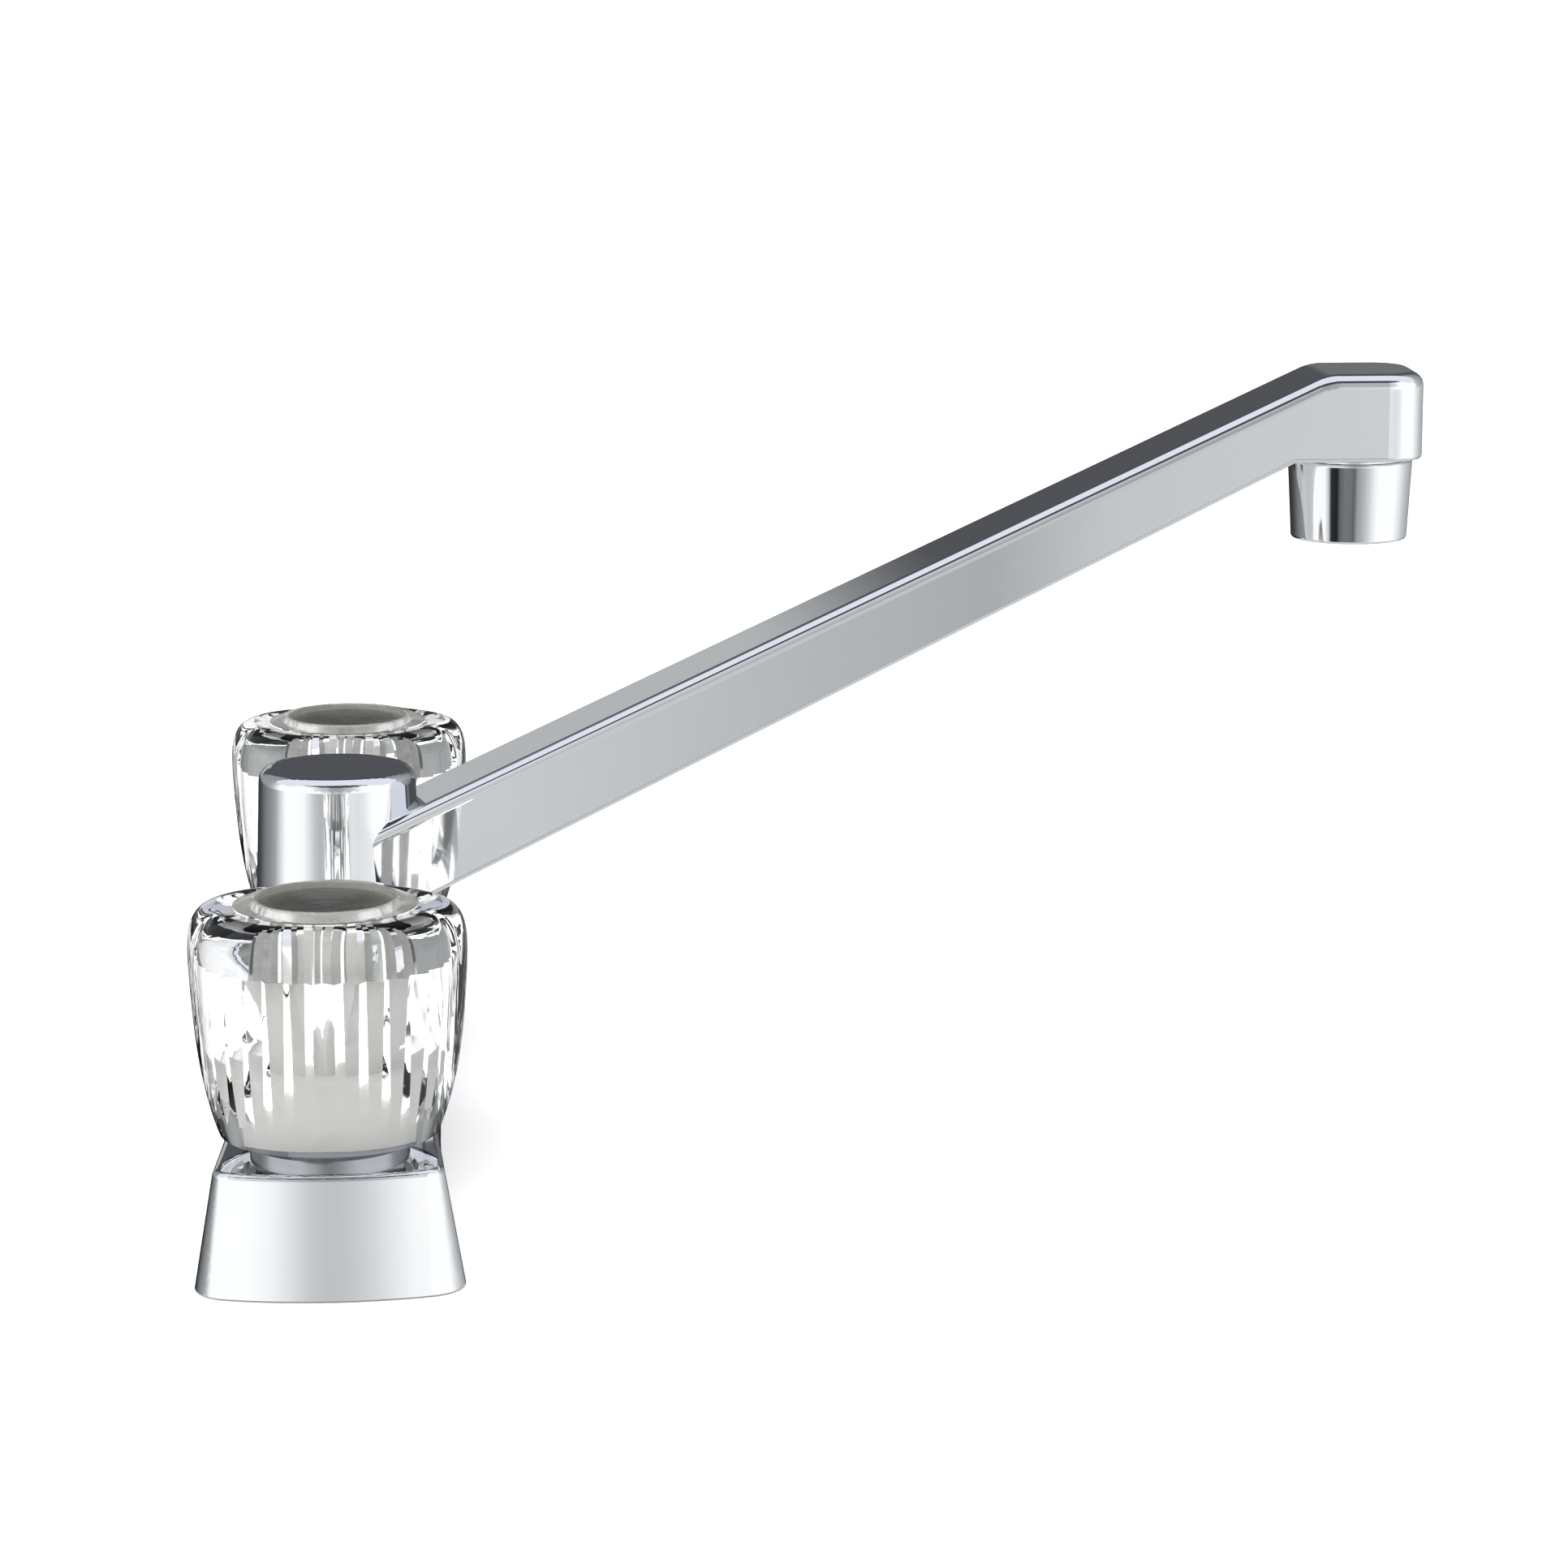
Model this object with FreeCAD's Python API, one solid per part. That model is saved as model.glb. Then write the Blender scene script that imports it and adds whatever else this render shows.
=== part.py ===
import FreeCAD
import Part
import math
import os
from FreeCAD import Vector

# Two-handle kitchen faucet with clear knobs and a straight rising spout.
# Millimetres. Z is up from the sink deck, Y runs along the base, X is the way the spout points.
# The origin is on the deck, under the axis that the spout swivels on.

# Layout
centre_spacing = 203.2          # between the two handle axes
deck_grip = 12.0                # room for the deck, from the gasket down to the washers
running_fit = 0.05              # radial clearance of a part that turns in another
slip_fit = 0.03                 # radial clearance of a still part in its seat
seat_gap = 0.3                  # between two parts that pass each other and never touch
hot_y = -centre_spacing / 2
cold_y = centre_spacing / 2

# Base cover: a waisted shell that flares down to the deck
cover_end_reach = 26.0          # from a handle's axis to the end of the cover
cover_end_half_width = 28.2     # before the corners are rounded
cover_waist_half_width = 22.0
cover_height = 25.2
cover_rim_z = 0.4
cover_end_flare = 4.7
cover_waist_flare = 2.0
cover_bow_radius = 80.0         # of each slightly bowed end, seen from above
cover_corner_radius = 9.2       # at the foot; the flare makes it smaller towards the top
cover_wall = 2.2
cover_edge_radius = 1.4

# Deck gasket inside the cover's rim
gasket_thickness = 3.0
gasket_play = 0.6

# Valve body: one brass casting of two wells, a crossbar and the spout post
shank_r = 10.4                  # outside of a 1/2-14 straight pipe thread
shank_bore_r = 6.5
shank_length = 56.0             # below the deck
shank_groove_gap = 2.0          # below the lock nut, where the supply thread begins
shank_groove_width = 2.0
shank_groove_depth = 0.9
well_r = 12.8
well_flange_r = 15.5
well_flange_thickness = 3.0
well_neck_r = 11.4
well_neck_length = 11.0         # above the cover
well_bore_r = 8.6
well_floor_z = 6.0
crossbar_r = 7.0
crossbar_bore_r = 5.0
crossbar_z = 14.0
post_bore_r = 9.5
post_foot_r = 16.5
post_foot_drop = 1.5            # how far its foot reaches below the crossbar
post_edge_radius = 1.0
post_top_z = 50.0

# Spout swivel
hub_bore_r = 14.0
o_ring_cord = 2.4
o_ring_groove_play = 0.5
lower_o_ring_z = 31.5
snap_ring_z = 39.0
upper_o_ring_z = 45.5
snap_ring_thickness = 1.8
snap_ring_depth = 1.2           # how far the ring stands into the hub
snap_ring_root = 1.9            # how far the ring lies in the post
snap_ring_slot = 5.0
snap_groove_play = 0.1          # above and below the ring, in the post
hub_groove_play = 0.15          # above and below the ring, in the hub
hub_groove_clearance = 0.2      # outside the ring
wear_ring_thickness = 1.2
wear_ring_width = 4.6

# Spout: round hub and hollow rising arm with a blunt rounded tip
hub_top_z = 85.1
hub_dome = 0.5
hub_top_r = 17.4
hub_draft_deg = 1.9
hub_edge_radius = 3.0
hub_roof = 3.5
spout_reach = 227.0             # from the swivel axis to the aerator's axis
arm_root_x = 8.7                # where the arm's heights at the hub are given
arm_top_drop = 11.4             # from the hub's top down to the arm's top surface
arm_root_depth = 21.1           # from the arm's top surface down to its underside
arm_root_half_width = 16.0
arm_tip_half_width = 14.4
arm_wall = 2.5
arm_top_edge_radius = 3.2
arm_under_edge_radius = 1.0
tip_top_z = 172.6
tip_height = 19.4
tip_beyond_aerator = 15.0       # from the aerator's axis to the end of the tip
tip_top_start = 7.6             # level top of the tip, from its bend to the aerator's axis
tip_under_start = 14.7          # level underside, from its bend to the aerator's axis
tip_bend_radius = 12.0
tip_corner_radius = 9.2

# Aerator below the spout's tip
aerator_top_r = 13.9
aerator_foot_r = 12.9
aerator_height = 18.0
aerator_gap = 0.5
aerator_neck_r = 11.9
aerator_neck_length = 8.0
aerator_bore_r = 10.6
aerator_mouth_r = 9.4
aerator_lip = 2.0
aerator_edge_radius = 0.7
aerator_washer_thickness = 1.5
aerator_washer_width = 3.3
aerator_washer_play = 0.2
aerator_seat_roof = 2.0         # of the spout, above the washer
screen_hole_r = 0.8
screen_pitch = 2.4
screen_thickness = 0.8
mixer_height = 9.0
mixer_wall = 1.4
mixer_roof = 2.0
mixer_slots = 12
mixer_slot_width = 1.6
mixer_slot_height = 4.5
mixer_hole_r = 1.1
mixer_hole_circle_r = 5.8

# Cartridge in each well
cartridge_r = well_bore_r - slip_fit
cartridge_chamber_r = 6.6
cartridge_flange_r = 11.0
cartridge_flange_thickness = 2.0
cartridge_neck_r = 6.4
cartridge_neck_height = 6.0
cartridge_window = 6.0          # width of the openings that let the water out of it
window_margin = 0.5             # left of the carrier's height above and below them
seal_thickness = 2.0
seal_play = 0.3
seal_overhang = 1.0             # how far it reaches in under the fixed disc
disc_thickness = 3.0
port_rim = 1.3                  # left outside the two ports of a disc
port_core_r = 1.6               # left between them
port_sweep_deg = 70.0
stem_carrier_height = 6.0
stem_waterway = 4.0             # width of the slot across the carrier
stem_waterway_height = 3.0
stem_r = 4.0
stem_top_z = 61.5
spline_count = 20
spline_depth = 0.4
spline_length = 13.0
stem_o_ring_cord = 1.6
stem_o_ring_z = 30.5
stem_groove_play = 0.2          # above and below the ring
stem_screw_r = 1.5
stem_lug_gap = 0.2              # above and below the lug
stem_end_gap = 0.2              # above the stem, in the insert
quarter_turn_deg = 90.0
stop_lug_deg = 36.0
stop_play_deg = 1.5
stop_height = 2.2
stop_lug_reach = 2.2

# Bonnet nut, lock nut and washer
bonnet_hex = 26.0
bonnet_flange_r = 16.4
bonnet_flange_thickness = 1.6
bonnet_roof = 2.6
bonnet_chamfer_inset = 0.6      # how far the top's round edge lies inside the flats
bonnet_chamfer_slope = 0.55
nut_thickness = 9.0
nut_r = 15.0
nut_wings = 4
nut_wing_reach = 24.0
nut_wing_width = 5.0
nut_wing_step = 1.5             # the wings are this much lower than the nut
nut_wing_corner = 2.2
washer_thickness = 2.0
washer_r = 19.0

# Clear knob: five wide lobes outside, fine flutes in the hollow inside
knob_gap = 4.1                  # between the cover's top and the knob
knob_foot_r = 22.6
knob_belly_r = 29.2
knob_belly_rise = 36.7          # from the knob's foot up to its widest level
knob_shoulder_rise = 47.2
knob_crown_r = 21.0
knob_ring_r = 18.9
knob_height = 48.8
lobe_count = 5
lobe_depth = 2.6
points_per_lobe = 8
first_valley_deg = -21.0
hollow_r = 18.0
hollow_height = 35.7
flute_count = 28
flute_depth = 2.6               # at the top of the hollow
flute_foot_depth = 0.05
flute_run_out = 5.0             # height above the foot at which the flutes start
well_dish_r = 14.5
well_dish_depth = 4.4
knob_rim_width = 0.7
crown_root_depth = 2.0          # how deep the crown's cone is rooted in the lobed body
crown_root_spread = 0.6
crown_step = 0.2

# White insert that joins the knob to the stem
insert_foot_gap = 1.0           # above the knob's foot
insert_skirt_r = 16.9
insert_wall = 1.5
insert_skirt_height = 13.7
insert_boss_r = 9.0
insert_key_r = 11.4
insert_key_teeth = 16
insert_key_depth = 1.1
insert_key_height = 5.0
insert_key_gap = 0.3            # above the key
insert_collar_r = 7.2           # clears the cartridge's stop
insert_spline_gap = 0.5         # from the foot of the stem's spline up to the insert's own
insert_screw_hole_r = 2.1
screw_head_r = 3.9
screw_head_height = 2.4
screw_head_edge = 1.0
screw_recess_depth = 1.3
screw_recess_width = 1.0
screw_recess_r = 2.4
screw_reach = 11.0              # depth of its hole in the stem
screw_tip_gap = 1.0

# Index button in the knob's dish
button_play = 0.08
button_rim_width = 0.5
button_top_drop = 0.2           # from the knob's top down to the button's rim
index_disc_drop = 1.3           # from the knob's top down to the disc's edge
index_disc_sag = 0.9            # from the disc's edge down to its centre
index_disc_thickness = 0.4

# Levels and lengths that follow from the sizes above
cover_length = centre_spacing + 2 * cover_end_reach
cover_roof_z = cover_height - cover_wall
neck_top_z = cover_height + well_neck_length
hub_foot_z = cover_height + wear_ring_thickness + seat_gap
post_r = hub_bore_r - running_fit
o_ring_inner_r = hub_bore_r - slip_fit - o_ring_cord
seal_top_z = well_floor_z + seal_thickness
turning_disc_z = seal_top_z + disc_thickness
carrier_z = turning_disc_z + disc_thickness
cartridge_top_z = neck_top_z + cartridge_flange_thickness + cartridge_neck_height
washer_foot_z = -deck_grip - washer_thickness
shank_groove_z = washer_foot_z - nut_thickness - shank_groove_gap
arm_top_root_z = hub_top_z - arm_top_drop
arm_under_root_z = arm_top_root_z - arm_root_depth
tip_under_z = tip_top_z - tip_height
tip_end_x = spout_reach + tip_beyond_aerator
tip_top_bend_x = spout_reach - tip_top_start
tip_under_bend_x = spout_reach - tip_under_start
knob_z = cover_height + knob_gap
knob_top_z = knob_z + knob_height
hollow_top_z = knob_z + hollow_height
key_top_z = hollow_top_z + insert_key_height
screw_seat_z = key_top_z - insert_key_gap
dish_floor_z = knob_top_z - well_dish_depth
button_r = well_dish_r - button_play
index_disc_r = button_r - button_rim_width - slip_fit
disc_edge_z = knob_top_z - index_disc_drop
disc_centre_z = disc_edge_z - index_disc_sag
index_disc_arc_r = (index_disc_r ** 2 + index_disc_sag ** 2) / (2 * index_disc_sag)
aerator_top_z = tip_under_z - aerator_gap
aerator_foot_z = aerator_top_z - aerator_height
neck_end_z = aerator_top_z + aerator_neck_length
washer_top_z = neck_end_z + aerator_washer_thickness
screen_z = aerator_foot_z + aerator_lip


def cylinder(radius, z0, z1, x=0.0, y=0.0):
    return Part.makeCylinder(radius, z1 - z0, Vector(x, y, z0))


def ring(outer_r, inner_r, z0, z1):
    return cylinder(outer_r, z0, z1).cut(cylinder(inner_r, z0 - 1, z1 + 1))


def spun(edges):
    """A solid turned about Z from the closed outline of its half."""
    return Part.Face(Part.Wire(edges)).revolve(Vector(0, 0, 0), Vector(0, 0, 1), 360)


def turned(outline):
    """A solid turned about Z from a closed outline of (radius, height) corners."""
    corners = [Vector(radius, 0, height) for radius, height in outline]
    return spun(Part.makePolygon(corners + corners[:1]).Edges)


def at_angle(radius, angle, z):
    return Vector(radius * math.cos(angle), radius * math.sin(angle), z)


def hexagon(across_flats, z0, z1):
    corner_r = across_flats / 2 / math.cos(math.pi / 6)
    corners = [at_angle(corner_r, math.pi * i / 3, z0) for i in range(6)]
    return Part.Face(Part.makePolygon(corners + corners[:1])).extrude(Vector(0, 0, z1 - z0))


def toothed_bar(teeth, radius, depth, z0, z1):
    """An upright bar with straight teeth all round, as tall as depth."""
    pitch = 2 * math.pi / teeth
    corners = []
    for i in range(teeth):
        for share, r in ((0.05, radius), (0.45, radius), (0.55, radius - depth), (0.95, radius - depth)):
            corners.append(at_angle(r, (i + share) * pitch, z0))
    return Part.Face(Part.makePolygon(corners + corners[:1])).extrude(Vector(0, 0, z1 - z0))


def torus(mean_r, cord, z):
    return Part.makeTorus(mean_r, cord / 2, Vector(0, 0, z), Vector(0, 0, 1))


def placed(shape, x=0.0, y=0.0):
    moved = shape.copy()
    moved.translate(Vector(x, y, 0))
    return moved


def turned_by(shape, angle_deg):
    moved = shape.copy()
    moved.rotate(Vector(0, 0, 0), Vector(0, 0, 1), angle_deg)
    return moved


def circles_at(shape, z, radius):
    """The round edges of a turned shape at one height and radius."""
    found = []
    for edge in shape.Edges:
        if not isinstance(edge.Curve, Part.Circle):
            continue
        level = abs(edge.Curve.Center.z - z) < 1e-4
        if level and abs(edge.Curve.Radius - radius) < 1e-4:
            found.append(edge)
    return found


def sector(outer_r, inner_r, z0, z1, start_deg, sweep_deg):
    """A piece of a ring that sweeps from start_deg through sweep_deg."""
    outer = Part.makeCylinder(outer_r, z1 - z0, Vector(0, 0, z0), Vector(0, 0, 1), sweep_deg)
    return turned_by(outer.cut(cylinder(inner_r, z0 - 1, z1 + 1)), start_deg)


# Base cover and gasket

def cover_outline(waist, end, half_length, bow, corner, z):
    """The cover seen from above: two hollow sides and two slightly bowed ends with round corners."""
    corner_y = half_length - bow + math.sqrt(bow ** 2 - end ** 2)
    edges = []
    for sense in (1, -1):
        first = Vector(sense * end, sense * corner_y, z)
        second = Vector(-sense * end, sense * corner_y, z)
        third = Vector(-sense * end, -sense * corner_y, z)
        edges.append(Part.Arc(first, Vector(0, sense * half_length, z), second).toShape())
        edges.append(Part.Arc(second, Vector(-sense * waist, 0, z), third).toShape())
    slab = Part.Face(Part.Wire(edges)).extrude(Vector(0, 0, 1))
    slab = slab.makeFillet(corner, [e for e in slab.Edges if e.BoundBox.ZLength > 0.5])
    foot = [face for face in slab.Faces if face.BoundBox.ZMax < z + 0.5]
    return foot[0].OuterWire


def cover_form(inset, z0, z1):
    """The cover's flared body between two heights, drawn in by inset all round."""
    sections = []
    for z in (z0, z1):
        rise = (z - cover_rim_z) / (cover_height - cover_rim_z)
        drawn_in = cover_end_flare * rise + inset
        waist = cover_waist_half_width - cover_waist_flare * rise - inset
        sections.append(cover_outline(
            waist, cover_end_half_width - drawn_in, cover_length / 2 - drawn_in,
            cover_bow_radius - drawn_in, cover_corner_radius - drawn_in, z))
    return Part.makeLoft(sections, True, True)


def base_cover():
    body = cover_form(0.0, cover_rim_z, cover_height)
    rim = [e for e in body.Edges if abs(e.BoundBox.ZMin - cover_height) < 1e-3]
    body = body.makeFillet(cover_edge_radius, rim)
    body = body.cut(cover_form(cover_wall, cover_rim_z - 1, cover_roof_z))
    body = body.cut(cylinder(post_r + seat_gap, 0, cover_height + 1))
    for y in (hot_y, cold_y):
        body = body.cut(cylinder(well_neck_r + seat_gap, 0, cover_height + 1, y=y))
    return body


def deck_gasket():
    body = cover_form(cover_wall + gasket_play, 0.0, gasket_thickness)
    for y in (hot_y, cold_y):
        body = body.cut(cylinder(shank_r + seat_gap, -1, gasket_thickness + 1, y=y))
    return body


# Valve body, spout post and what seals on it

def crossbar(radius):
    return Part.makeCylinder(radius, centre_spacing, Vector(0, hot_y, crossbar_z), Vector(0, 1, 0))


def well():
    """One well with the shank below it, solid."""
    flange_top_z = gasket_thickness + well_flange_thickness
    groove_foot_z = shank_groove_z - shank_groove_width
    return turned([
        (0, -shank_length),
        (shank_r, -shank_length),
        (shank_r, groove_foot_z),
        (shank_r - shank_groove_depth, groove_foot_z),
        (shank_r - shank_groove_depth, shank_groove_z),
        (shank_r, shank_groove_z),
        (shank_r, gasket_thickness),
        (well_flange_r, gasket_thickness),
        (well_flange_r, flange_top_z),
        (well_r, flange_top_z),
        (well_r, cover_roof_z),
        (well_neck_r, cover_roof_z),
        (well_neck_r, neck_top_z),
        (0, neck_top_z),
    ])


def valve_body():
    shell = crossbar(crossbar_r)
    water = crossbar(crossbar_bore_r)
    for y in (hot_y, cold_y):
        shell = shell.fuse(placed(well(), y=y))
        water = water.fuse(cylinder(shank_bore_r, -shank_length - 1, well_floor_z + 1, y=y))
        water = water.fuse(cylinder(well_bore_r, well_floor_z, neck_top_z + 1, y=y))
    foot_top_z = cover_roof_z - seat_gap
    post = cylinder(post_foot_r, crossbar_z - crossbar_r - post_foot_drop, foot_top_z)
    post = post.fuse(cylinder(post_r, foot_top_z, post_top_z))
    post = post.makeFillet(post_edge_radius, circles_at(post, post_top_z, post_r))
    shell = shell.fuse(post)
    water = water.fuse(cylinder(post_bore_r, crossbar_z, post_top_z + 1))
    body = shell.cut(water)
    for z in (lower_o_ring_z, upper_o_ring_z):
        half = (o_ring_cord + o_ring_groove_play) / 2
        body = body.cut(ring(post_r + 1, o_ring_inner_r - slip_fit, z - half, z + half))
    half = snap_ring_thickness / 2 + snap_groove_play
    body = body.cut(ring(post_r + 1, post_r - snap_ring_root, snap_ring_z - half, snap_ring_z + half))
    return body.removeSplitter()


def spout_o_ring(z):
    return torus(o_ring_inner_r + o_ring_cord / 2, o_ring_cord, z)


def spout_snap_ring():
    half = snap_ring_thickness / 2
    outer_r = hub_bore_r + snap_ring_depth
    body = ring(outer_r, post_r - snap_ring_root + slip_fit, snap_ring_z - half, snap_ring_z + half)
    slot = Part.makeBox(outer_r, snap_ring_slot, 2 * snap_ring_thickness)
    slot.translate(Vector(-outer_r, -snap_ring_slot / 2, snap_ring_z - snap_ring_thickness))
    return body.cut(slot)


def spout_wear_ring():
    inner_r = post_r + seat_gap
    return ring(inner_r + wear_ring_width, inner_r, cover_height, cover_height + wear_ring_thickness)


# Spout

def arm_side(inset):
    """The arm and tip seen from the side, as corners of (x, z), drawn in by inset."""
    top_slope = (tip_top_z - arm_top_root_z) / (tip_top_bend_x - arm_root_x)
    under_slope = (tip_under_z - arm_under_root_z) / (tip_under_bend_x - arm_root_x)
    top_drop = inset * math.hypot(1, top_slope)
    under_lift = inset * math.hypot(1, under_slope)
    top_shift = (top_drop - inset) / top_slope
    under_shift = (under_lift - inset) / under_slope
    return [
        (0, arm_top_root_z - top_slope * arm_root_x - top_drop),
        (tip_top_bend_x + top_shift, tip_top_z - inset),
        (tip_end_x - inset, tip_top_z - inset),
        (tip_end_x - inset, tip_under_z + inset),
        (tip_under_bend_x - under_shift, tip_under_z + inset),
        (0, arm_under_root_z - under_slope * arm_root_x + under_lift),
    ]


def arm_plan(inset, z0, z1):
    """The arm and tip seen from above: slightly tapering, with rounded corners at the tip."""
    taper = (arm_root_half_width - arm_tip_half_width) / (tip_end_x - arm_root_x)
    root = arm_root_half_width + taper * arm_root_x - inset
    tip = arm_tip_half_width - inset
    end = tip_end_x - inset
    corners = [Vector(0, -root, z0), Vector(end, -tip, z0), Vector(end, tip, z0), Vector(0, root, z0)]
    body = Part.Face(Part.makePolygon(corners + corners[:1])).extrude(Vector(0, 0, z1 - z0))
    upright = [e for e in body.Edges if e.BoundBox.ZLength > 1 and e.BoundBox.XMin > end - 1]
    return body.makeFillet(tip_corner_radius - inset, upright)


def arm_form(inset):
    """The arm and tip with the rounded bend on top, all other edges sharp."""
    side = arm_side(inset)
    corners = [Vector(x, -2 * arm_root_half_width, z) for x, z in side]
    slab = Part.Face(Part.makePolygon(corners + corners[:1])).extrude(Vector(0, 4 * arm_root_half_width, 0))
    bend_x = side[1][0]
    bend = [e for e in slab.Edges if abs(e.BoundBox.XMin - bend_x) < 0.01 and e.BoundBox.XLength < 0.01]
    slab = slab.makeFillet(tip_bend_radius - inset, bend)
    return slab.common(arm_plan(inset, 0, 2 * tip_top_z))


def arm_edges(arm, corners):
    """The long edges of the arm and the edges round its tip that follow one line of its side."""
    (x0, z0), (x1, z1) = corners
    found = []
    for edge in arm.Edges:
        middle = edge.valueAt((edge.FirstParameter + edge.LastParameter) / 2)
        if middle.x < x1:
            line_z = z0 + (z1 - z0) * (middle.x - x0) / (x1 - x0)
        else:
            line_z = z1
        at_bend_or_root = edge.BoundBox.XLength < 0.01 and middle.x < tip_end_x - 1
        if abs(middle.z - line_z) < 0.5 and not at_bend_or_root:
            found.append(edge)
    return found


def arm_outside():
    """The arm's outer form with its soft top edges and its crisper lower ones."""
    arm = arm_form(0.0)
    side = arm_side(0.0)
    arm = arm.makeFillet(arm_top_edge_radius, arm_edges(arm, (side[0], side[1])))
    return arm.makeFillet(arm_under_edge_radius, arm_edges(arm, (side[5], side[4])))


def arm_hollow():
    """The water way in the arm, up to and above the solid seat of the aerator."""
    seat_x = spout_reach - aerator_neck_r - arm_wall
    seat = Part.makeBox(
        tip_end_x - seat_x, 4 * arm_tip_half_width, washer_top_z + aerator_seat_roof - tip_under_z,
        Vector(seat_x, -2 * arm_tip_half_width, tip_under_z))
    return arm_form(arm_wall).cut(seat)


def spout():
    height = hub_top_z - hub_foot_z
    foot_r = hub_top_r + height * math.tan(math.radians(hub_draft_deg))
    hub = turned([(0, hub_foot_z), (foot_r, hub_foot_z), (hub_top_r, hub_top_z), (0, hub_top_z + hub_dome)])
    hub = hub.makeFillet(hub_edge_radius, circles_at(hub, hub_top_z, hub_top_r))
    body = hub.fuse(arm_outside())
    body = body.cut(cylinder(hub_bore_r, hub_foot_z - 1, hub_top_z - hub_roof).fuse(arm_hollow()))
    half = snap_ring_thickness / 2 + hub_groove_play
    groove_r = hub_bore_r + snap_ring_depth + hub_groove_clearance
    body = body.cut(cylinder(groove_r, snap_ring_z - half, snap_ring_z + half))
    body = body.cut(cylinder(aerator_neck_r + slip_fit, tip_under_z - 1, washer_top_z, x=spout_reach))
    return body.cut(cylinder(aerator_mouth_r, tip_under_z, washer_top_z + aerator_seat_roof + 1, x=spout_reach))


# Aerator, from the washer down to the screen in its mouth

def aerator_housing():
    outside = turned([
        (0, aerator_foot_z),
        (aerator_foot_r, aerator_foot_z),
        (aerator_top_r, aerator_top_z),
        (aerator_neck_r, aerator_top_z),
        (aerator_neck_r, neck_end_z),
        (0, neck_end_z),
    ])
    for z, radius in ((aerator_foot_z, aerator_foot_r), (aerator_top_z, aerator_top_r)):
        outside = outside.makeFillet(aerator_edge_radius, circles_at(outside, z, radius))
    body = outside.cut(cylinder(aerator_bore_r, screen_z, neck_end_z + 1))
    return placed(body.cut(cylinder(aerator_mouth_r, aerator_foot_z - 1, neck_end_z)), x=spout_reach)


def aerator_screen():
    z1 = screen_z + screen_thickness
    body = cylinder(aerator_bore_r - slip_fit, screen_z, z1)
    rows = int(aerator_mouth_r / screen_pitch)
    reach = aerator_mouth_r - 2 * screen_hole_r
    for i in range(-rows, rows + 1):
        for j in range(-rows, rows + 1):
            x = (i + 0.5 * (j % 2)) * screen_pitch
            y = j * screen_pitch * math.sqrt(3) / 2
            if math.hypot(x, y) < reach:
                body = body.cut(cylinder(screen_hole_r, screen_z - 1, z1 + 1, x=x, y=y))
    return placed(body, x=spout_reach)


def aerator_mixer():
    """A cup with slots round its wall, where air is drawn into the water."""
    z0 = screen_z + screen_thickness
    z1 = z0 + mixer_height
    outer_r = aerator_bore_r - slip_fit
    body = cylinder(outer_r, z0, z1)
    body = body.cut(cylinder(outer_r - mixer_wall, z0 - 1, z1 - mixer_roof))
    slot = Part.makeBox(2 * mixer_wall, mixer_slot_width, mixer_slot_height)
    slot.translate(Vector(outer_r - 1.5 * mixer_wall, -mixer_slot_width / 2, z0 + mixer_wall))
    hole = cylinder(mixer_hole_r, z1 - mixer_roof - 1, z1 + 1, x=mixer_hole_circle_r)
    for i in range(mixer_slots):
        angle_deg = 360.0 * i / mixer_slots
        body = body.cut(turned_by(slot, angle_deg))
        body = body.cut(turned_by(hole, angle_deg))
    return placed(body, x=spout_reach)


def aerator_washer():
    outer_r = aerator_neck_r - aerator_washer_play
    return placed(ring(outer_r, outer_r - aerator_washer_width, neck_end_z, washer_top_z), x=spout_reach)


# Cartridge and stem

def seat_seal():
    return ring(cartridge_r - seal_play, shank_bore_r - seal_overhang, well_floor_z, seal_top_z)


def ceramic_disc(z):
    """A disc with two opposite ports that line up or close as one disc turns on the other."""
    body = cylinder(cartridge_chamber_r - running_fit, z, z + disc_thickness)
    for middle_deg in (0, 180):
        start_deg = middle_deg - port_sweep_deg / 2
        port = sector(cartridge_chamber_r - port_rim, port_core_r, z - 1, z + disc_thickness + 1,
                      start_deg, port_sweep_deg)
        body = body.cut(port)
    return body


def cartridge_sleeve(opening_sense):
    flange_top_z = neck_top_z + cartridge_flange_thickness
    body = turned([
        (0, seal_top_z),
        (cartridge_r, seal_top_z),
        (cartridge_r, neck_top_z),
        (cartridge_flange_r, neck_top_z),
        (cartridge_flange_r, flange_top_z),
        (cartridge_neck_r, flange_top_z),
        (cartridge_neck_r, cartridge_top_z),
        (0, cartridge_top_z),
    ])
    chamber_top_z = carrier_z + stem_carrier_height + seat_gap
    body = body.cut(cylinder(cartridge_chamber_r, seal_top_z - 1, chamber_top_z))
    body = body.cut(cylinder(stem_r + running_fit, seal_top_z, cartridge_top_z + 1))
    window = Part.makeBox(4 * cartridge_r, cartridge_window, stem_carrier_height - 2 * window_margin)
    window.translate(Vector(-2 * cartridge_r, -cartridge_window / 2, carrier_z + window_margin))
    for turn_deg in (0, 90):
        body = body.cut(turned_by(window, turn_deg))
    return body.fuse(travel_stop(opening_sense)).removeSplitter()


def travel_stop(opening_sense):
    """The raised part of the sleeve's rim that stops the stem's lug after a quarter turn."""
    open_sector = quarter_turn_deg + stop_lug_deg + 2 * stop_play_deg
    first = -stop_lug_deg / 2 - stop_play_deg
    if opening_sense < 0:
        first = first - quarter_turn_deg
    inner_r = stem_r + running_fit
    top_z = cartridge_top_z + stop_height
    return sector(cartridge_neck_r, inner_r, cartridge_top_z, top_z, first + open_sector, 360 - open_sector)


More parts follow.
